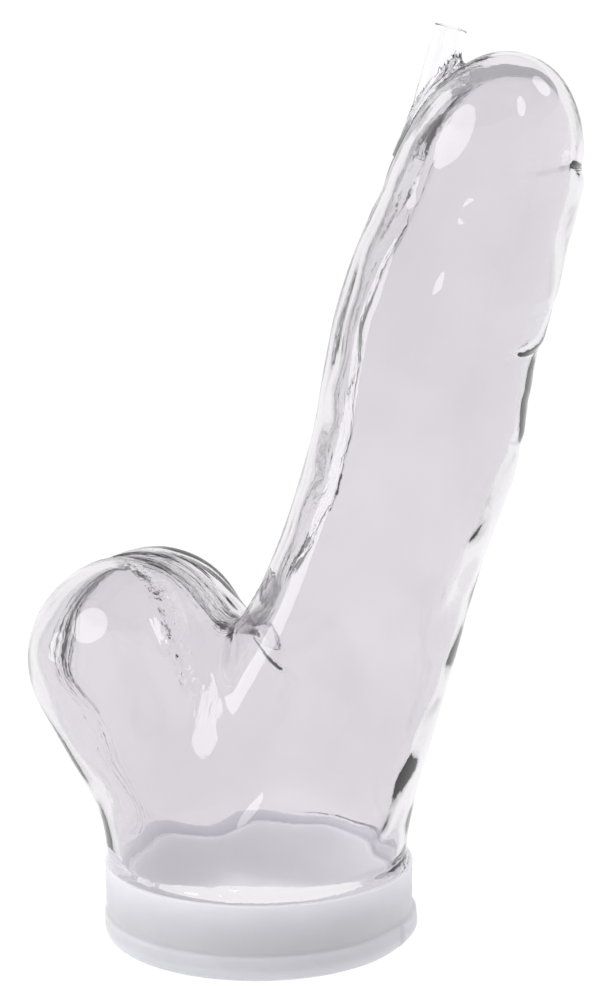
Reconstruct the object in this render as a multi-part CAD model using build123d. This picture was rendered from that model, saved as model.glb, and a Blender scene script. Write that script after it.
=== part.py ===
from build123d import *
import math
import os

os.makedirs("parts", exist_ok=True)

# A clear vacuum chamber that stands on the soft sealing cuff round its open base.
# Millimetres. The origin is the centre of the opening on the surface it stands on, +Z is up,
# the shaft leans toward +X and the two-lobed bulb hangs toward -X. XZ is the symmetry plane.

# Wall and clearances
WALL = 3.2
CUFF_CLEARANCE = 0.15

# Cuff: a channel of soft silicone whose inner wall is a little lower than its outer wall
CUFF_HEIGHT = 20.0
CUFF_OUTER_WALL = 1.35
CUFF_INNER_WALL = 2.15
CUFF_INNER_DROP = 2.6
CUFF_FLOOR = 3.0
CUFF_LIP_ROUND = 4.0
CUFF_EDGE_ROUND = 0.5

# Foot of the chamber: a straight round wall that the cuff grips, and that ends just above it
FOOT_R = 38.5
FOOT_TOP = CUFF_HEIGHT + 2.5

# Shaft: the centre of its lowest round section, its lean, and its round-ended length
SHAFT_X = 32.0
SHAFT_Z = 97.7
SHAFT_LEAN = 16.2
SHAFT_LENGTH = 96.4
SHAFT_R = 25.5
DOME_R = 24.2
DOME_LENGTH = 34.5
DOME_NOSE_R = 18.5

# The shaft bows a little. Each section gives its share of the way along, how far it stands
# off the straight axis toward +X, and its radius.
SHAFT_SECTIONS = ((0.33, 0.8, 25.3), (0.7, -1.2, 25.3))

# The root runs from the foot to the shaft. Each section gives its share of the way up,
# of the way sideways, of the change in radius, and of the shaft's lean.
ROOT_SECTIONS = ((0.22, 0.14, 0.27, 0.95), (0.58, 0.59, 0.69, 1.5))

# Bulb: two round lobes side by side, with a shallow valley between them
LOBE_R = 26.2
LOBE_SPACING = 13.0
LOBE_VALLEY_R = 9.0
BULB_X = -34.0
BULB_Z = 70.9

# The funnel joins the foot to the bulb: one oval section between them, and one in the bulb
FUNNEL_X = -18.5
FUNNEL_Z = 50.0
FUNNEL_R = 31.0
FUNNEL_SIDE_R = 34.5
FUNNEL_LEAN = -28.0
FUNNEL_END_LEAN = -35.0
FUNNEL_END_SINK = 2.0
FUNNEL_START_SINK = 1.0
FUNNEL_START_DEPTH = 1.5

# Hose nipple on the shoulder of the dome, parallel to the shaft. It stands inside the dome's
# rim and a little higher than the dome, and flares slightly from its straight end to its root.
NIPPLE_R = 4.0
NIPPLE_FLARE = 0.15
NIPPLE_BORE_R = 2.5
NIPPLE_OFFSET = DOME_R - 5.3
NIPPLE_TOP = DOME_LENGTH + 1.3
NIPPLE_STRAIGHT = 6.0
NIPPLE_ROOT = -1.0
BEAD_WIDTH = 1.4
BEAD_HEIGHT = 1.2

# Edges are picked by place to within this
TOUCH = 0.001


def tilted_plane(x, z, lean):
    """A plane across a centreline that leans from +Z toward +X by lean degrees."""
    turn = math.radians(lean)
    return Plane(
        origin=(x, 0, z),
        x_dir=(math.cos(turn), 0, -math.sin(turn)),
        z_dir=(math.sin(turn), 0, math.cos(turn)),
    )


def shaft_plane(along):
    """The plane across the shaft's axis at this distance above its lowest section."""
    return tilted_plane(SHAFT_X, SHAFT_Z, SHAFT_LEAN).offset(along)


def dome_side():
    """The dome's side arc: its radius, and the angle at which the nose takes over."""
    nose_height = DOME_LENGTH - DOME_NOSE_R
    radius = (DOME_R**2 + nose_height**2 - DOME_NOSE_R**2) / (2 * (DOME_R - DOME_NOSE_R))
    return radius, math.atan2(nose_height, radius - DOME_R)


def root_and_shaft(inset):
    """The foot's circle swept up into the leaning shaft, with its surface moved in by inset."""
    rise = SHAFT_Z - FOOT_TOP
    sections = [tilted_plane(0, FOOT_TOP, 0) * Circle(FOOT_R - inset)]
    for up, across, narrowing, lean in ROOT_SECTIONS:
        radius = FOOT_R + narrowing * (SHAFT_R - FOOT_R) - inset
        plane = tilted_plane(across * SHAFT_X, FOOT_TOP + up * rise, lean * SHAFT_LEAN)
        sections.append(plane * Circle(radius))
    sections.append(shaft_plane(0) * Circle(SHAFT_R - inset))
    for share, stand_off, radius in SHAFT_SECTIONS:
        plane = shaft_plane(share * SHAFT_LENGTH) * Pos(stand_off, 0, 0)
        sections.append(plane * Circle(radius - inset))
    side_r, turn = dome_side()
    for angle in (0, turn / 2, turn):
        plane = shaft_plane(SHAFT_LENGTH + (side_r - inset) * math.sin(angle))
        radius = DOME_R - side_r + (side_r - inset) * math.cos(angle)
        sections.append(plane * Circle(radius))
    return loft([section.face() for section in sections])


def dome_nose(inset):
    """The cap of a ball that closes the dome."""
    turn = math.degrees(dome_side()[1])
    ball = Sphere(DOME_NOSE_R - inset, arc_size1=turn, arc_size2=90, align=Align.NONE)
    return shaft_plane(SHAFT_LENGTH + DOME_LENGTH - DOME_NOSE_R) * ball


def bulb(inset):
    """Two lobes turned about the sideways axis through their centres."""
    lobe = LOBE_R - inset
    valley = LOBE_VALLEY_R + inset
    half_space = LOBE_SPACING / 2
    valley_height = math.sqrt((lobe + valley) ** 2 - half_space**2)
    turn = math.degrees(math.atan2(valley_height, half_space))
    end = half_space + lobe
    right = CenterArc((half_space, 0), lobe, 0, 180 - turn)
    middle = CenterArc((0, valley_height), valley, -turn, 2 * turn - 180)
    left = CenterArc((-half_space, 0), lobe, turn, 180 - turn)
    face = make_face(right + middle + left + Line((-end, 0), (end, 0)))
    along_y = Plane(origin=(BULB_X, 0, BULB_Z), x_dir=(0, 1, 0), z_dir=(1, 0, 0))
    return along_y * revolve(face, Axis.X, 360)


def funnel(inset):
    """The foot's circle drawn out sideways into the bulb."""
    end_radius = LOBE_R - FUNNEL_END_SINK - inset
    end_side = LOBE_R + LOBE_SPACING / 2 - 2 * FUNNEL_END_SINK - inset
    start_radius = FOOT_R - FUNNEL_START_SINK - inset
    start = tilted_plane(0, FOOT_TOP - FUNNEL_START_DEPTH, 0) * Circle(start_radius)
    middle_plane = tilted_plane(FUNNEL_X, FUNNEL_Z, FUNNEL_LEAN)
    middle = middle_plane * Ellipse(FUNNEL_R - inset, FUNNEL_SIDE_R - inset)
    end = tilted_plane(BULB_X, BULB_Z, FUNNEL_END_LEAN) * Ellipse(end_radius, end_side)
    return loft([start.face(), middle.face(), end.face()])


def foot(inset, bottom):
    """The straight round foot from this height up to the body."""
    height = FOOT_TOP - bottom
    return Pos(0, 0, bottom) * Cylinder(
        FOOT_R - inset, height, align=(Align.CENTER, Align.CENTER, Align.MIN)
    )


def vessel(inset, bottom):
    """The whole form of the chamber, solid, with its surface moved in by inset."""
    body = root_and_shaft(inset) + dome_nose(inset)
    return body + funnel(inset) + bulb(inset) + foot(inset, bottom)


def nipple_plane(height):
    """The plane across the nipple's axis at this height above the dome's base."""
    return shaft_plane(SHAFT_LENGTH + height) * Pos(-NIPPLE_OFFSET, 0, 0)


def nipple_rod(radius, start, top):
    """A round rod on the nipple's axis, between two heights above the dome's base."""
    return nipple_plane(start) * Cylinder(
        radius, top - start, align=(Align.CENTER, Align.CENTER, Align.MIN)
    )


def nipple_form():
    """The nipple's outside: its flare, and the straight end that takes the hose."""
    shoulder = NIPPLE_TOP - NIPPLE_STRAIGHT
    flare = nipple_plane(NIPPLE_ROOT) * Cone(
        NIPPLE_R + NIPPLE_FLARE,
        NIPPLE_R,
        shoulder - NIPPLE_ROOT,
        align=(Align.CENTER, Align.CENTER, Align.MIN),
    )
    return flare + nipple_rod(NIPPLE_R, shoulder, NIPPLE_TOP)


def chamber_shell(outer):
    """The one-piece clear vessel, open at its foot and drilled under the nipple."""
    below = CUFF_FLOOR - WALL
    drill = nipple_rod(NIPPLE_BORE_R, NIPPLE_ROOT, NIPPLE_TOP)
    return outer - vessel(WALL, below) - drill


def hose_nipple(outer):
    """The nipple's tube, its lower end shaped to the dome that it stands on."""
    bore = nipple_rod(NIPPLE_BORE_R, NIPPLE_ROOT, NIPPLE_TOP)
    return nipple_form() - bore - outer


def nipple_cement_bead(outer):
    """The bead of clear cement round the nipple's root."""
    ring = nipple_rod(NIPPLE_R + BEAD_WIDTH, 0, NIPPLE_TOP) - nipple_form()
    skin = root_and_shaft(-BEAD_HEIGHT) + dome_nose(-BEAD_HEIGHT)
    return ring & skin - outer


def rim(ring, radius, height):
    """The ring's round edges of this radius at this height."""
    return [
        edge
        for edge in ring.edges().filter_by(GeomType.CIRCLE)
        if abs(edge.radius - radius) < TOUCH and abs(edge.center().Z - height) < TOUCH
    ]


def sealing_cuff():
    """The soft channel that the foot stands in."""
    outer_face = FOOT_R + CUFF_CLEARANCE
    inner_face = FOOT_R - WALL - CUFF_CLEARANCE
    outer_r = outer_face + CUFF_OUTER_WALL
    bore_r = inner_face - CUFF_INNER_WALL
    inner_top = CUFF_HEIGHT - CUFF_INNER_DROP
    outline = Polyline(
        (bore_r, 0),
        (outer_r, 0),
        (outer_r, CUFF_HEIGHT),
        (outer_face, CUFF_HEIGHT),
        (outer_face, CUFF_FLOOR),
        (inner_face, CUFF_FLOOR),
        (inner_face, inner_top),
        (bore_r, inner_top),
        close=True,
    )
    ring = revolve(Plane.XZ * make_face(outline), Axis.Z, 360)
    tops = rim(ring, outer_r, CUFF_HEIGHT) + rim(ring, bore_r, inner_top)
    ring = fillet(tops, CUFF_EDGE_ROUND)
    return fillet(rim(ring, outer_r, 0), CUFF_LIP_ROUND)


outer_form = vessel(0, CUFF_FLOOR)
export_step(chamber_shell(outer_form), "parts/chamber_shell.step")
export_step(hose_nipple(outer_form), "parts/hose_nipple.step")
export_step(nipple_cement_bead(outer_form), "parts/nipple_cement_bead.step")
export_step(sealing_cuff(), "parts/sealing_cuff.step")
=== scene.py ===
import math

import bpy
import numpy as np
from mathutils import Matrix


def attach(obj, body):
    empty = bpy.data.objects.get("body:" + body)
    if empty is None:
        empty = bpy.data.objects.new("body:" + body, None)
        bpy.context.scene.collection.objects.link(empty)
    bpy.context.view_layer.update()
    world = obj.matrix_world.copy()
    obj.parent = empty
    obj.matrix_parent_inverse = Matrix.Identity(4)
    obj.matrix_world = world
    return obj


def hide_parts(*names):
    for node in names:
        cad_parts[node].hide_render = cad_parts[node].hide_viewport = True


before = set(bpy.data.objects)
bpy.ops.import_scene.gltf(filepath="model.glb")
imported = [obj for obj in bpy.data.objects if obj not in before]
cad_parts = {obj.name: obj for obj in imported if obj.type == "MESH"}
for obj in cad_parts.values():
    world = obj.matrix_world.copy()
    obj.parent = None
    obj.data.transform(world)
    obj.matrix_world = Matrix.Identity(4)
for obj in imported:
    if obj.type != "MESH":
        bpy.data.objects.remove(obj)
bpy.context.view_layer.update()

# The clear chamber is one smooth closed skin, worked out from the form that its centreline
# and lobes give, in millimetres. The nipple, its cement bead and the soft cuff stand on it.
MM = 0.001

# ---------------------------------------------------------------- the chamber's form
SHAFT_LEAN = math.radians(16.2)
LEAN_SIN = math.sin(SHAFT_LEAN)
LEAN_COS = math.cos(SHAFT_LEAN)

# Centre x, centre z and radius of round sections from the foot to the dome
STATIONS = np.array([
    (0.0, -10.0, 38.5), (0.0, 10.0, 38.5), (0.0, 22.0, 38.3), (5.6, 40.0, 34.8),
    (11.7, 53.0, 31.4), (19.0, 66.5, 28.8), (26.1, 82.0, 26.4), (32.0, 97.7, 24.9),
    (37.0, 113.0, 24.6), (42.3, 128.0, 25.4), (44.9, 143.0, 25.2), (47.3, 158.0, 25.0),
    (52.5, 172.0, 24.9), (58.0, 188.0, 22.9),
])
STATION_BLUR = 4.5
DOME_START = 194.7
DOME_HEIGHT = 39.2
DOME_POWER = 2.09
DOME_SHIFT = -0.7

LOBE_X = -33.7
LOBE_Y = 6.4
LOBE_Z = 70.9
LOBE_R = 26.1
LOBE_NECK_X = -7.0
LOBE_NECK_Y = 3.4
LOBE_NECK_Z = 36.1
LOBE_NECK_R = 30.3
VALLEY_BLEND = 2.6
SADDLE_BLEND = 7.5

# A crease down each lobe's shoulder, in the plane with this normal (mirrored for the far lobe)
SHOULDER_NORMAL = (0.66, 0.74, 0.11)
SHOULDER_OFFSET = -14.5

# The seam up the shaft's ventral side: a keel with a groove on each side of it. Each row is a
# height, a place across and a width.
SEAM = ((1.2, 0.8, 3.6), (-0.7, -6.6, 2.4), (-0.7, 8.0, 2.6))
SEAM_LOW = 92.0
SEAM_HIGH = 207.0
SEAM_FADE = 16.0
SEAM_STREAK = 0.5
SEAM_STREAK_WIDTH = 9.0

# The crease below the dome: highest at the dorsal side, it drops and fades on the way round
BRIM_HEIGHT = 213.2
BRIM_DROP = 0.055
BRIM_CURVE = 0.0006
BRIM_SPREAD = 75.0

# Folds on the dorsal side: height along the axis, depth, half-width and slant by the degree
FOLDS = (
    (167.0, 0.7, 22.0, 0.05), (144.6, 0.6, 20.0, -0.06), (178.0, 0.2, 40.0, 0.08),
    (155.5, 0.2, 46.0, -0.03), (131.0, 0.15, 38.0, 0.05),
)

WALL = 3.1
OUTER_RIPPLE = 0.28
INNER_RIPPLE = 0.9
FOOT_R = 38.5
FOOT_BOTTOM = 3.04
FOOT_TOP = 21.0
FOOT_BLEND = 2.0
BULB_FLOOR_BLEND = 4.0

# Hose nipple: parallel to the straight axis through this point, and this far to its ventral side
NIPPLE_R = 4.0
NIPPLE_BORE_R = 2.5
NIPPLE_X = 32.0
NIPPLE_Z = 97.7
NIPPLE_OFFSET = 18.9
SHAFT_LENGTH = 96.4
NIPPLE_TOP = SHAFT_LENGTH + 35.7
NIPPLE_LOW = SHAFT_LENGTH + 2.0
NIPPLE_RIM_ROUND = 0.5
JOINT_GAP = 0.05
BEAD_BLEND = 4.6
BEAD_INSET = 0.12

# Cuff. No point of it goes past the width limit to either side.
CUFF_R = 39.9
CUFF_WIDTH_LIMIT = 39.97
CUFF_BORE_R = 33.0
CUFF_HEIGHT = 20.0
CUFF_INNER_TOP = 17.4
CUFF_CHANNEL_IN = 35.1
CUFF_CHANNEL_OUT = 38.68
CUFF_FLOOR = 2.98

# Its lower lip bulges outward on one side: how far, at what height and turn, and over how much
CUFF_BULGE = 1.25
CUFF_BULGE_HEIGHT = 4.4
CUFF_BULGE_REACH = 3.6
CUFF_BULGE_TURN = 24.0
CUFF_BULGE_SPREAD = 46.0

# Cell sizes of the meshes, and the boxes that they are worked out in
VOXEL = 1.1
FINE_VOXEL = 0.34
CHAMBER_BOX = ((-62, -42, 1), (88, 42, 227))
TUBE_BOX = ((34, -7, 196), (62, 7, 233))
BEAD_BOX = ((30, -9, 194), (64, 9, 233))


def station_table(step=0.25):
    """Smooth tables of the centreline's offset, slope and radius along the leaning axis."""
    along = STATIONS[:, 0] * LEAN_SIN + STATIONS[:, 1] * LEAN_COS
    across = STATIONS[:, 0] * LEAN_COS - STATIONS[:, 1] * LEAN_SIN
    at = np.arange(-30.0, 240.0, step)
    reach = int(4 * STATION_BLUR / step)
    bell = np.exp(-0.5 * (np.arange(-reach, reach + 1) * step / STATION_BLUR) ** 2)
    bell /= bell.sum()

    def smooth(value):
        slope_low = (value[1] - value[0]) / (along[1] - along[0])
        slope_high = (value[-1] - value[-2]) / (along[-1] - along[-2])
        line = np.interp(at, along, value)
        line += np.minimum(at - along[0], 0) * slope_low
        line += np.maximum(at - along[-1], 0) * slope_high
        return np.convolve(np.pad(line, reach, mode="edge"), bell, "valid")

    offset = smooth(across)
    return at, offset, np.gradient(offset, at), smooth(STATIONS[:, 2])


TABLE_AT, TABLE_OFFSET, TABLE_SLOPE, TABLE_RADIUS = station_table()


def smooth_min(a, b, blend):
    share = np.clip(0.5 + 0.5 * (b - a) / blend, 0, 1)
    return b + (a - b) * share - blend * share * (1 - share)


def smooth_max(a, b, blend):
    return -smooth_min(-a, -b, blend)


def round_cone(points, start, end, start_r, end_r):
    """Distance to the skin of two balls and the cone that wraps them."""
    run = end - start
    length2 = run @ run
    drop = start_r - end_r
    cone2 = length2 - drop * drop
    from_start = points - start
    y = from_start @ run
    z = y - length2
    side2 = ((from_start * length2 - y[:, None] * run) ** 2).sum(1)
    y2 = y * y * length2
    z2 = z * z * length2
    turn = np.sign(drop) * drop * drop * side2
    near_end = np.sqrt(side2 + z2) / length2 - end_r
    near_start = np.sqrt(side2 + y2) / length2 - start_r
    between = (np.sqrt(side2 * cone2 / length2) + y * drop) / length2 - start_r
    skin = np.where(np.sign(y) * cone2 * y2 < turn, near_start, between)
    return np.where(np.sign(z) * cone2 * z2 > turn, near_end, skin)


def waves(seed, count, longest, shortest):
    """A fixed set of gentle waves: their directions, lengths and phases."""
    draw = np.random.default_rng(seed)
    direction = draw.normal(size=(count, 3))
    direction /= np.linalg.norm(direction, axis=1, keepdims=True)
    length = draw.uniform(shortest, longest, count)
    return direction * (2 * math.pi / length)[:, None], draw.uniform(0, 2 * math.pi, count)


OUTER_WAVES = waves(3, 9, 46.0, 20.0)
INNER_WAVES = waves(8, 9, 34.0, 13.0)
STREAK_WAVES = waves(5, 7, 9.0, 4.0)

# Streaks run long up the shaft, and along the valley over the lobes
SHAFT_STREAK = (1.0, 1.0, 0.35)
VALLEY_STREAK = (0.35, 1.0, 0.35)


def ripple(points, wave_set):
    direction, phase = wave_set
    return np.sin(points @ direction.T + phase).mean(1)


def bell(value, width):
    return np.exp(-((value / width) ** 2))


def window(value, low, high, soft):
    """1 between low and high, falling to 0 over soft on both sides."""
    rise = np.clip((value - low) / soft + 0.5, 0, 1)
    fall = np.clip((high - value) / soft + 0.5, 0, 1)
    return rise * rise * (3 - 2 * rise) * fall * fall * (3 - 2 * fall)


def shaft_frame(points):
    """Distance along the leaning axis, and the offset from the centreline across it."""
    along = points[:, 0] * LEAN_SIN + points[:, 2] * LEAN_COS
    across = points[:, 0] * LEAN_COS - points[:, 2] * LEAN_SIN
    dome = np.clip((along - DOME_START) / DOME_HEIGHT, 0, 1)
    offset = np.interp(along, TABLE_AT, TABLE_OFFSET) + DOME_SHIFT * dome**2
    return along, across - offset


def shaft_relief(points, along, across):
    """What stands proud of the smooth shaft, in millimetres: seam, crease and folds."""
    side = points[:, 1]
    angle = np.degrees(np.arctan2(side, across))
    ventral = window(-across, 6.0, 90.0, 12.0)
    dorsal = window(across, 4.0, 90.0, 14.0)
    streak = ripple(points * SHAFT_STREAK, STREAK_WAVES)

    run = window(along, SEAM_LOW, SEAM_HIGH, SEAM_FADE)
    keel = sum(height * bell(side - place, width) for height, place, width in SEAM)
    relief = ventral * run * (keel + SEAM_STREAK * streak * bell(side, SEAM_STREAK_WIDTH))

    brim = along - BRIM_HEIGHT + BRIM_DROP * np.abs(angle) + BRIM_CURVE * angle**2
    fade = np.exp(-((angle / BRIM_SPREAD) ** 2))
    relief += fade * (0.45 * bell(brim + 3.6, 3.2) - 0.7 * bell(brim, 1.9))
    relief += 0.25 * fade * streak * bell(brim - 1.0, 3.0)

    for height, depth, spread, slant in FOLDS:
        fold = along - height - slant * angle
        shape = 0.8 * bell(fold - 2.9, 3.6) - bell(fold, 1.9)
        relief += dorsal * depth * shape * np.exp(-((angle / spread) ** 2))
    return relief


def lobe_relief(points):
    """A worn, streaky edge along the valley between the lobes."""
    x, y, z = points.T
    reach = np.hypot(x - LOBE_X, z - LOBE_Z)
    upper = window(z, LOBE_Z - 4.0, 200.0, 22.0) * window(reach, 16.0, 40.0, 6.0)
    streak = ripple(points * VALLEY_STREAK, STREAK_WAVES)
    return upper * (bell(y, 4.5) * 0.35 * streak - 0.5 * bell(y + 0.5, 1.9))


def shoulder_relief(points):
    """A soft crease that sets each lobe off from the root of the shaft."""
    x, y, z = points.T
    near_side = np.stack([x, -np.abs(y), z], 1)
    reach = near_side @ np.array(SHOULDER_NORMAL) - SHOULDER_OFFSET
    beside = window(np.abs(y), 8.0, 60.0, 8.0) * window(z, 66.0, 105.0, 16.0)
    return beside * (0.5 * bell(reach + 4.5, 4.0) - 0.9 * bell(reach, 2.6))


def outer_skin(points):
    """Signed distance to the chamber's outer skin, in millimetres, negative inside."""
    along, across = shaft_frame(points)
    slope = np.interp(along, TABLE_AT, TABLE_SLOPE)
    radius = np.interp(np.minimum(along, DOME_START), TABLE_AT, TABLE_RADIUS)
    spread = np.sqrt(across**2 / (1 + slope**2) + points[:, 1] ** 2)
    rise = np.maximum(along - DOME_START, 0) / DOME_HEIGHT
    shaft = (((spread / radius) ** DOME_POWER + rise**DOME_POWER) ** (1 / DOME_POWER) - 1) * radius
    shaft -= shaft_relief(points, along, across)

    lobes = []
    for side in (-1, 1):
        lobe = np.array((LOBE_X, side * LOBE_Y, LOBE_Z))
        neck = np.array((LOBE_NECK_X, side * LOBE_NECK_Y, LOBE_NECK_Z))
        lobes.append(round_cone(points, lobe, neck, LOBE_R, LOBE_NECK_R))
    bulb = smooth_min(lobes[0], lobes[1], VALLEY_BLEND) - lobe_relief(points)
    bulb = smooth_max(bulb, FOOT_TOP - points[:, 2], BULB_FLOOR_BLEND)

    body = smooth_min(shaft, bulb, SADDLE_BLEND)
    body -= shoulder_relief(points)
    above_foot = window(points[:, 2], 44.0, 400.0, 34.0)
    body -= OUTER_RIPPLE * above_foot * ripple(points, OUTER_WAVES)
    foot = np.maximum(np.hypot(points[:, 0], points[:, 1]) - FOOT_R, points[:, 2] - FOOT_TOP)
    return smooth_min(body, foot, FOOT_BLEND)


def nipple_frame(points):
    """Height along the nipple's axis and distance from it."""
    x = points[:, 0] - NIPPLE_X
    z = points[:, 2] - NIPPLE_Z
    along = x * LEAN_SIN + z * LEAN_COS
    across = x * LEAN_COS - z * LEAN_SIN + NIPPLE_OFFSET
    return along, np.hypot(across, points[:, 1])


def chamber_field(points):
    """Negative inside the clear wall itself."""
    outer = outer_skin(points)
    above_foot = window(points[:, 2], 26.0, 400.0, 12.0)
    wall = WALL + INNER_RIPPLE * above_foot * ripple(points, INNER_WAVES)
    shell = np.maximum(outer, -(outer + wall))
    shell = np.maximum(shell, FOOT_BOTTOM - points[:, 2])
    along, radius = nipple_frame(points)
    drill = np.maximum(radius - NIPPLE_BORE_R, NIPPLE_LOW - 3.0 - along)
    return np.maximum(shell, -drill)


def tube_field(radius, along):
    """The tube without end below, its top rim rounded on the outside."""
    past_side = np.maximum(radius - NIPPLE_R + NIPPLE_RIM_ROUND, 0)
    past_top = np.maximum(along - NIPPLE_TOP + NIPPLE_RIM_ROUND, 0)
    rim = np.hypot(past_side, past_top) - NIPPLE_RIM_ROUND
    return np.maximum(rim, NIPPLE_BORE_R - radius)


def nipple_field(points):
    """The open tube, its lower end shaped to the dome."""
    along, radius = nipple_frame(points)
    tube = np.maximum(tube_field(radius, along), NIPPLE_LOW - along)
    return np.maximum(tube, JOINT_GAP - outer_skin(points))


def bead_field(points):
    """Clear cement that fills the corner between the tube and the dome."""
    along, radius = nipple_frame(points)
    skin = outer_skin(points)
    tube = np.maximum(radius - NIPPLE_R, NIPPLE_LOW - 1.0 - along)
    fillet = smooth_min(skin, tube, BEAD_BLEND) + BEAD_INSET
    bead = np.maximum(np.maximum(fillet, JOINT_GAP - skin), NIPPLE_R + JOINT_GAP - radius)
    return np.maximum(bead, NIPPLE_LOW + 1.0 - along)


# ---------------------------------------------------------------- skin to mesh
UNIT = np.eye(3, dtype=int)


def in_parts(field, points, part=400_000):
    """The field at these points, taken in blocks so that memory stays small."""
    return np.concatenate([field(points[i:i + part]) for i in range(0, len(points), part)])


def settle(field, points, rounds, reach):
    """Moves points along the field's slope until they lie on the skin."""
    probe = 0.04
    for _ in range(rounds):
        value = in_parts(field, points)
        slope = np.empty_like(points)
        for axis in range(3):
            step = np.zeros(3)
            step[axis] = probe
            slope[:, axis] = in_parts(field, points + step) - in_parts(field, points - step)
        slope /= 2 * probe
        size2 = np.maximum((slope**2).sum(1), 0.2)
        move = slope * (value / size2)[:, None]
        length = np.linalg.norm(move, axis=1, keepdims=True)
        points = points - move * np.minimum(1, reach / np.maximum(length, 1e-9))
    return points


def skin_mesh(name, field, low, high, step):
    """A closed quad mesh of the field's zero skin: one vertex in every cell it crosses."""
    low = np.array(low, float)
    axes = [np.arange(low[i], high[i] + step, step) for i in range(3)]
    shape = tuple(len(axis) for axis in axes)
    grid = np.stack(np.meshgrid(*axes, indexing="ij"), -1).reshape(-1, 3)
    value = in_parts(field, grid).reshape(shape)
    inside = value < 0
    corners = sum(
        inside[i:shape[0] - 1 + i, j:shape[1] - 1 + j, k:shape[2] - 1 + k].astype(np.int8)
        for i in (0, 1) for j in (0, 1) for k in (0, 1)
    )
    cells = np.argwhere((corners > 0) & (corners < 8))
    number = np.full(corners.shape, -1)
    number[tuple(cells.T)] = np.arange(len(cells))

    total = np.zeros((len(cells), 3))
    hits = np.zeros(len(cells))
    for axis in range(3):
        unit = UNIT[axis]
        others = [UNIT[i] for i in range(3) if i != axis]
        for a in (0, 1):
            for b in (0, 1):
                offset = a * others[0] + b * others[1]
                start = value[tuple((cells + offset).T)]
                end = value[tuple((cells + offset + unit).T)]
                crossed = (start < 0) != (end < 0)
                share = start[crossed] / (start[crossed] - end[crossed])
                total[crossed] += offset + share[:, None] * unit
                hits[crossed] += 1
    points = low + step * (cells + total / hits[:, None])

    quads = []
    for axis in range(3):
        b, c = (axis + 1) % 3, (axis + 2) % 3
        first = np.moveaxis(inside, axis, 0)[:-1]
        second = np.moveaxis(inside, axis, 0)[1:]
        where = np.argwhere(first != second)
        edge = np.empty_like(where)
        kept = [i for i in range(3) if i != axis]
        edge[:, axis], edge[:, kept[0]], edge[:, kept[1]] = where.T
        going_out = first[tuple(where.T)]
        around = [edge - UNIT[b] - UNIT[c], edge - UNIT[c], edge, edge - UNIT[b]]
        ring = np.stack([number[tuple(cell.T)] for cell in around], 1)
        ring[~going_out] = ring[~going_out][:, ::-1]
        quads.append(ring)
    quads = np.concatenate(quads)
    points = settle(field, points, 4, step * 0.6)
    return mesh_object(name, points * MM, quads)


def mesh_object(name, points, faces):
    mesh = bpy.data.meshes.new(name)
    mesh.from_pydata(points.tolist(), [], faces.tolist())
    mesh.shade_smooth()
    mesh.update()
    piece = bpy.data.objects.new(name, mesh)
    bpy.context.scene.collection.objects.link(piece)
    return piece


# ---------------------------------------------------------------- cuff
def arc(centre, radius, start, end, count):
    turn = np.radians(np.linspace(start, end, count))
    return [(centre[0] + radius * math.cos(t), centre[1] + radius * math.sin(t)) for t in turn]


def cuff_profile():
    """The channel's outline, radius and height, the way round from the bore's lower edge."""
    lip = 3.4
    edge = 0.55
    root = 0.4
    outline = arc((CUFF_BORE_R + edge, edge), edge, 180, 270, 5)
    outline += [(CUFF_R - 5.2, 0.0)]
    outline += arc((CUFF_R - lip, lip), lip, 275, 360, 12)
    # Above the lip the wall draws in a little, then runs up nearly straight
    outline += [(CUFF_R - 0.05, 6.5), (CUFF_R - 0.5, 7.3), (CUFF_R - 0.45, 9.0), (CUFF_R - 0.3, 14.0)]
    outline += arc((CUFF_R - 0.2 - edge, CUFF_HEIGHT - edge - 0.02), edge, 0, 90, 6)
    outline += arc((CUFF_CHANNEL_OUT + 0.3, CUFF_HEIGHT - 0.32), 0.3, 90, 180, 4)
    outline += [(CUFF_CHANNEL_OUT, 12.0)]
    outline += arc((CUFF_CHANNEL_OUT - root, CUFF_FLOOR + root), root, 0, -90, 4)
    outline += arc((CUFF_CHANNEL_IN + root, CUFF_FLOOR + root), root, 270, 180, 4)
    outline += [(CUFF_CHANNEL_IN, 12.0)]
    outline += arc((CUFF_CHANNEL_IN - edge, CUFF_INNER_TOP - edge), edge, 0, 90, 6)
    outline += arc((CUFF_BORE_R + edge, CUFF_INNER_TOP - edge), edge, 90, 180, 6)
    outline += [(CUFF_BORE_R, 10.0)]
    return np.array(outline)


def sealing_cuff():
    """A soft ring: a turned channel whose lower lip bulges a little on one side."""
    outline = cuff_profile()
    around = 288
    turn = np.linspace(0, 2 * math.pi, around, endpoint=False)
    radius, height = outline.T
    outside = np.clip((radius - CUFF_CHANNEL_OUT) / 1.2, 0, 1)
    bulge_side = np.exp(-((np.degrees(turn) - CUFF_BULGE_TURN) / CUFF_BULGE_SPREAD) ** 2)
    bulge = CUFF_BULGE * bell(height - CUFF_BULGE_HEIGHT, CUFF_BULGE_REACH) * outside
    soft = 0.06 * np.sin(3 * turn + 0.7) + 0.05 * np.sin(7 * turn + 2.1)
    ring_r = radius[None] + bulge_side[:, None] * bulge[None] + soft[:, None] * outside[None]
    x = ring_r * np.cos(turn)[:, None]
    y = np.clip(ring_r * np.sin(turn)[:, None], -CUFF_WIDTH_LIMIT, CUFF_WIDTH_LIMIT)
    z = np.broadcast_to(height[None], x.shape)
    points = np.stack([x, y, z], -1).reshape(-1, 3)
    count = len(outline)
    i, j = np.meshgrid(np.arange(around), np.arange(count), indexing="ij")
    i2, j2 = (i + 1) % around, (j + 1) % count
    quads = np.stack([i * count + j, i2 * count + j, i2 * count + j2, i * count + j2], -1)
    return mesh_object("soft_cuff", points * MM, quads.reshape(-1, 4))


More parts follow.
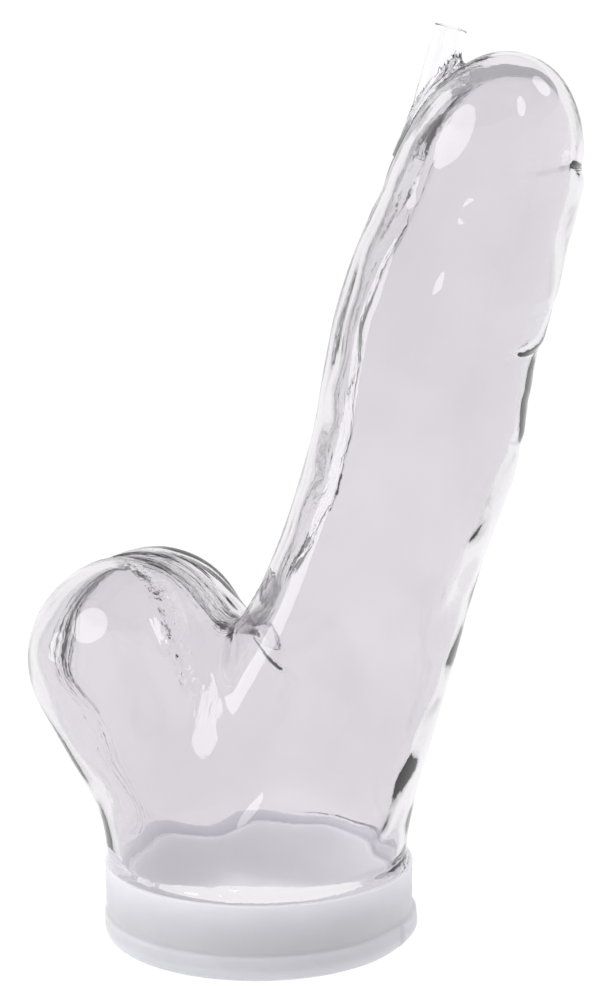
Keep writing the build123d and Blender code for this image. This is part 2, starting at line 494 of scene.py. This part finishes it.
# ---------------------------------------------------------------- materials
def new_material(name):
    material = bpy.data.materials.new(name)
    material.use_nodes = True
    return material, material.node_tree.nodes, material.node_tree.links


def noise(nodes, links, scale, detail, stretch=(1.0, 1.0, 1.0)):
    place = nodes.new("ShaderNodeTexCoord")
    mapping = nodes.new("ShaderNodeMapping")
    mapping.inputs["Scale"].default_value = stretch
    texture = nodes.new("ShaderNodeTexNoise")
    texture.inputs["Scale"].default_value = scale
    texture.inputs["Detail"].default_value = detail
    links.new(place.outputs["Object"], mapping.inputs["Vector"])
    links.new(mapping.outputs["Vector"], texture.inputs["Vector"])
    return texture.outputs["Fac"]


def ramp(nodes, links, factor, low, high):
    """Spreads the middle of a noise over the range from low to high."""
    spread = nodes.new("ShaderNodeMapRange")
    spread.inputs["To Min"].default_value = low
    spread.inputs["To Max"].default_value = high
    spread.inputs["From Min"].default_value = 0.35
    spread.inputs["From Max"].default_value = 0.65
    links.new(factor, spread.inputs["Value"])
    return spread.outputs["Result"]


def bump(nodes, links, height, distance, strength, normal=None):
    node = nodes.new("ShaderNodeBump")
    node.inputs["Distance"].default_value = distance
    node.inputs["Strength"].default_value = strength
    links.new(height, node.inputs["Height"])
    if normal is not None:
        links.new(normal, node.inputs["Normal"])
    return node.outputs["Normal"]


def maths(nodes, links, operation, *values):
    """A Math node whose inputs are sockets or plain numbers."""
    node = nodes.new("ShaderNodeMath")
    node.operation = operation
    for socket, value in zip(node.inputs, values):
        if isinstance(value, bpy.types.NodeSocket):
            links.new(value, socket)
        else:
            socket.default_value = value
    return node.outputs["Value"]


def fade_out(nodes, links, value, low, high):
    """1 up to low, 0 from high on, with a smooth step between them."""
    fade = nodes.new("ShaderNodeMapRange")
    fade.interpolation_type = "SMOOTHSTEP"
    fade.inputs["From Min"].default_value = low
    fade.inputs["From Max"].default_value = high
    fade.inputs["To Min"].default_value = 1.0
    fade.inputs["To Max"].default_value = 0.0
    links.new(value, fade.inputs["Value"])
    return fade.outputs["Result"]


def place_with(nodes, links, operation, vector):
    """A Vector Math node that puts each point's place together with one fixed vector."""
    place = nodes.new("ShaderNodeTexCoord")
    node = nodes.new("ShaderNodeVectorMath")
    node.operation = operation
    node.inputs[1].default_value = vector
    links.new(place.outputs["Object"], node.inputs[0])
    return node


def plane_band(nodes, links, normal, offset, low, high):
    """1 near a plane, falling smoothly to 0 between low and high metres to each side of it."""
    reach = place_with(nodes, links, "DOT_PRODUCT", normal).outputs["Value"]
    shifted = maths(nodes, links, "SUBTRACT", reach, offset)
    return fade_out(nodes, links, maths(nodes, links, "ABSOLUTE", shifted), low, high)


def beyond_plane(nodes, links, normal, offset, soft):
    """0 behind a plane and 1 in front of it, with a soft step."""
    reach = place_with(nodes, links, "DOT_PRODUCT", normal).outputs["Value"]
    turned = maths(nodes, links, "SUBTRACT", offset, reach)
    return fade_out(nodes, links, turned, -soft / 2, soft / 2)


def middle_seam(nodes, links):
    """Fine draw lines along the shaft's ventral side and over the valley, fainter low down."""
    middle = plane_band(nodes, links, (0.0, 1.0, 0.0), -0.0005, 0.002, 0.011)
    ventral = beyond_plane(nodes, links, (-LEAN_COS, 0.0, LEAN_SIN), 0.008, 0.016)
    high = beyond_plane(nodes, links, (0.0, 0.0, 1.0), 0.074, 0.05)
    strength = maths(nodes, links, "MULTIPLY_ADD", high, 0.75, 0.25)
    seam = maths(nodes, links, "MULTIPLY", middle, ventral)
    seam = maths(nodes, links, "MULTIPLY", seam, strength)
    strands = noise(nodes, links, 1.0, 3.0, (55.0, 480.0, 55.0))
    return maths(nodes, links, "MULTIPLY", seam, strands)


def shoulder_seam(nodes, links):
    """Fine draw lines down the near lobe's shoulder."""
    shoulder = plane_band(nodes, links, SHOULDER_NORMAL, SHOULDER_OFFSET * MM, 0.001, 0.005)
    near = beyond_plane(nodes, links, (0.0, -1.0, 0.0), 0.010, 0.008)
    top = beyond_plane(nodes, links, (0.0, 0.0, 1.0), 0.066, 0.014)
    near_top = maths(nodes, links, "MULTIPLY", near, top)
    crease = maths(nodes, links, "MULTIPLY", shoulder, near_top)
    strands = noise(nodes, links, 1.0, 3.0, (340.0, 200.0, 60.0))
    return maths(nodes, links, "MULTIPLY", crease, strands)


def let_light_in(nodes, links, tint):
    """Lamps and scattered light pass straight through the clear wall, faintly tinted."""
    path = nodes.new("ShaderNodeLightPath")
    shadow, scattered = path.outputs["Is Shadow Ray"], path.outputs["Is Diffuse Ray"]
    passing = maths(nodes, links, "MAXIMUM", shadow, scattered)
    open_side = nodes.new("ShaderNodeBsdfTransparent")
    open_side.inputs["Color"].default_value = (*[math.sqrt(part) for part in tint], 1.0)
    mix = nodes.new("ShaderNodeMixShader")
    links.new(passing, mix.inputs["Fac"])
    links.new(nodes["Principled BSDF"].outputs["BSDF"], mix.inputs[1])
    links.new(open_side.outputs["BSDF"], mix.inputs[2])
    links.new(mix.outputs["Shader"], nodes["Material Output"].inputs["Surface"])


def clear_material(name, tint, rough_low, rough_high, wave_size, seam=False):
    """Clear acrylic: faintly tinted, with soft waves, a few duller patches and any seam lines."""
    material, nodes, links = new_material(name)
    shader = nodes["Principled BSDF"]
    cloud = nodes.new("ShaderNodeMix")
    cloud.data_type = "RGBA"
    cloud.inputs["A"].default_value = (*[0.965 * part for part in tint], 1.0)
    cloud.inputs["B"].default_value = (*[1.03 * part for part in tint], 1.0)
    links.new(ramp(nodes, links, noise(nodes, links, 26.0, 2.0), 0.0, 1.0), cloud.inputs["Factor"])
    links.new(cloud.outputs["Result"], shader.inputs["Base Color"])
    shader.inputs["Transmission Weight"].default_value = 1.0
    shader.inputs["IOR"].default_value = 1.49
    patches = noise(nodes, links, 38.0, 3.0)
    links.new(ramp(nodes, links, patches, rough_low, rough_high), shader.inputs["Roughness"])
    swell = bump(nodes, links, noise(nodes, links, wave_size, 1.5), 0.0012, 0.28)
    if seam:
        streaks = maths(nodes, links, "ADD", middle_seam(nodes, links), shoulder_seam(nodes, links))
        swell = bump(nodes, links, streaks, 0.0020, 0.9, swell)
    fine = bump(nodes, links, noise(nodes, links, 420.0, 2.0), 0.0001, 0.12, swell)
    links.new(fine, shader.inputs["Normal"])
    let_light_in(nodes, links, tint)
    return material


def cuff_material():
    """Milky silicone: light soaks through its thin walls, and its bore and inner wall are painted
    lighter as a painted backlight.
    """
    material, nodes, links = new_material("milky_silicone")
    shader = nodes["Principled BSDF"]
    shader.inputs["IOR"].default_value = 1.41
    shader.inputs["Subsurface Weight"].default_value = 1.0
    shader.inputs["Subsurface Radius"].default_value = (1.0, 1.0, 1.0)
    shader.inputs["Subsurface Scale"].default_value = 0.006
    flat = place_with(nodes, links, "MULTIPLY", (1.0, 1.0, 0.0))
    radius = nodes.new("ShaderNodeVectorMath")
    radius.operation = "LENGTH"
    links.new(flat.outputs["Vector"], radius.inputs[0])
    # Painted backlight: inside 35.2 mm radius the bore and inner wall get a lighter base colour,
    # standing in for light shining through the thin wall.
    painted_backlight_mask = fade_out(nodes, links, radius.outputs["Value"], 0.0352, 0.0375)
    painted_backlight_share = maths(nodes, links, "MULTIPLY", painted_backlight_mask, 0.8)
    cloud = noise(nodes, links, 60.0, 3.0)
    # The mix factor is random cloudy tone plus the painted backlight on the bore and inner wall.
    tone_and_painted_backlight = maths(nodes, links, "MULTIPLY_ADD", cloud, 0.25, painted_backlight_share)
    mix = nodes.new("ShaderNodeMix")
    mix.data_type = "RGBA"
    mix.inputs["A"].default_value = (0.49, 0.49, 0.53, 1.0)
    mix.inputs["B"].default_value = (0.73, 0.725, 0.755, 1.0)
    links.new(tone_and_painted_backlight, mix.inputs["Factor"])
    links.new(mix.outputs["Result"], shader.inputs["Base Color"])
    links.new(ramp(nodes, links, cloud, 0.30, 0.42), shader.inputs["Roughness"])
    grain = bump(nodes, links, noise(nodes, links, 900.0, 2.0), 0.0001, 0.25)
    links.new(grain, shader.inputs["Normal"])
    return material


def stage_material():
    material, nodes, links = new_material("studio_white")
    shader = nodes["Principled BSDF"]
    shader.inputs["Base Color"].default_value = (0.10, 0.10, 0.10, 1.0)
    shader.inputs["Roughness"].default_value = 0.9
    shader.inputs["Specular IOR Level"].default_value = 0.05
    shader.inputs["Emission Color"].default_value = (1.0, 1.0, 1.0, 1.0)
    shader.inputs["Emission Strength"].default_value = 0.95
    return material


def wear(piece, material):
    piece.data.materials.clear()
    piece.data.materials.append(material)


# ---------------------------------------------------------------- camera, stage, lights
def camera():
    """Stands 0.6 m from the chamber, 25 degrees to the right of the front, looking down."""
    distance, azimuth, height = 0.6, math.radians(25.0), 0.2135
    yaw, pitch = math.radians(1.16), math.radians(9.49)
    data = bpy.data.cameras.new("camera")
    data.sensor_width = 36.0
    data.lens = 86.8
    data.clip_start = 0.01
    data.clip_end = 50.0
    eye = bpy.data.objects.new("camera", data)
    eye.location = (distance * math.sin(azimuth), -distance * math.cos(azimuth), height)
    eye.rotation_euler = (math.pi / 2 - pitch, 0.0, azimuth - yaw)
    bpy.context.scene.collection.objects.link(eye)
    bpy.context.scene.camera = eye


def backdrop():
    """A round white floor that curves up into a wall all the way round."""
    around = 96
    flat, bend, wall = 1.6, 0.8, 1.3
    profile = [(0.02, 0.0), (0.5, 0.0), (1.0, 0.0), (flat, 0.0)]
    profile += [
        (flat + bend * math.sin(t), bend * (1 - math.cos(t)))
        for t in np.linspace(0.15, math.pi / 2, 10)
    ]
    profile += [(flat + bend, bend + wall * k) for k in (0.35, 0.7, 1.0)]
    points = [(0.0, 0.0, 0.0)]
    for radius, height in profile:
        for t in np.linspace(0, 2 * math.pi, around, endpoint=False):
            points.append((radius * math.cos(t), radius * math.sin(t), height))
    faces = [(0, 1 + i, 1 + (i + 1) % around) for i in range(around)]
    for ring in range(len(profile) - 1):
        for i in range(around):
            a = 1 + ring * around + i
            b = 1 + ring * around + (i + 1) % around
            faces.append((a, a + around, b + around, b))
    mesh = bpy.data.meshes.new("backdrop")
    mesh.from_pydata(points, [], faces)
    mesh.shade_smooth()
    stage = bpy.data.objects.new("backdrop", mesh)
    bpy.context.scene.collection.objects.link(stage)
    wear(stage, stage_material())


def softbox(name, azimuth, elevation, size, radiance, distance=1.25):
    """An area light that looks at the chamber; azimuth 0 is at the front, 90 at +X."""
    turn, rise = math.radians(azimuth), math.radians(elevation)
    out = np.array((math.sin(turn) * math.cos(rise), -math.cos(turn) * math.cos(rise), math.sin(rise)))
    middle = np.array((0.01, 0.0, 0.11))
    data = bpy.data.lights.new(name, "AREA")
    data.shape = "ELLIPSE"
    data.size, data.size_y = size
    data.energy = math.pi * (math.pi / 4 * size[0] * size[1]) * radiance
    lamp = bpy.data.objects.new(name, data)
    lamp.location = middle + distance * out
    lamp.rotation_euler = (math.pi / 2 - rise, 0.0, turn)
    lamp.visible_camera = False
    lamp.visible_transmission = False
    bpy.context.scene.collection.objects.link(lamp)


def lights():
    softbox("key_left", -66.0, 6.0, (0.40, 0.60), 3.6)
    softbox("front_high", -34.0, 38.0, (0.95, 0.80), 4.0)
    softbox("low_front", 6.0, -4.0, (0.16, 0.20), 4.5)
    softbox("side_right", 56.0, 46.0, (0.20, 0.34), 5.0)
    softbox("rim_right", 112.0, 50.0, (0.45, 0.45), 4.5)
    world = bpy.data.worlds.new("world")
    world.use_nodes = True
    world.node_tree.nodes["Background"].inputs["Color"].default_value = (0.9, 0.9, 0.92, 1.0)
    world.node_tree.nodes["Background"].inputs["Strength"].default_value = 0.55
    bpy.context.scene.world = world
    bpy.context.scene.view_settings.view_transform = "Standard"


# ---------------------------------------------------------------- the object
camera()
backdrop()
lights()

chamber = skin_mesh("clear_chamber", chamber_field, *CHAMBER_BOX, VOXEL)
wear(chamber, clear_material("clear_acrylic", (0.82, 0.80, 0.827), 0.0, 0.03, 45.0, seam=True))
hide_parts("chamber_shell")
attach(chamber, "chamber")

tube = skin_mesh("hose_tube", nipple_field, *TUBE_BOX, FINE_VOXEL)
wear(tube, clear_material("tube_acrylic", (0.96, 0.955, 0.965), 0.0, 0.05, 90.0))
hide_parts("hose_nipple")
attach(tube, "chamber")

bead = skin_mesh("cement_bead", bead_field, *BEAD_BOX, FINE_VOXEL)
wear(bead, clear_material("clear_cement", (0.94, 0.94, 0.96), 0.02, 0.12, 120.0))
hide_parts("nipple_cement_bead")
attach(bead, "chamber")

cuff = sealing_cuff()
wear(cuff, cuff_material())
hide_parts("sealing_cuff")
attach(cuff, "cuff")
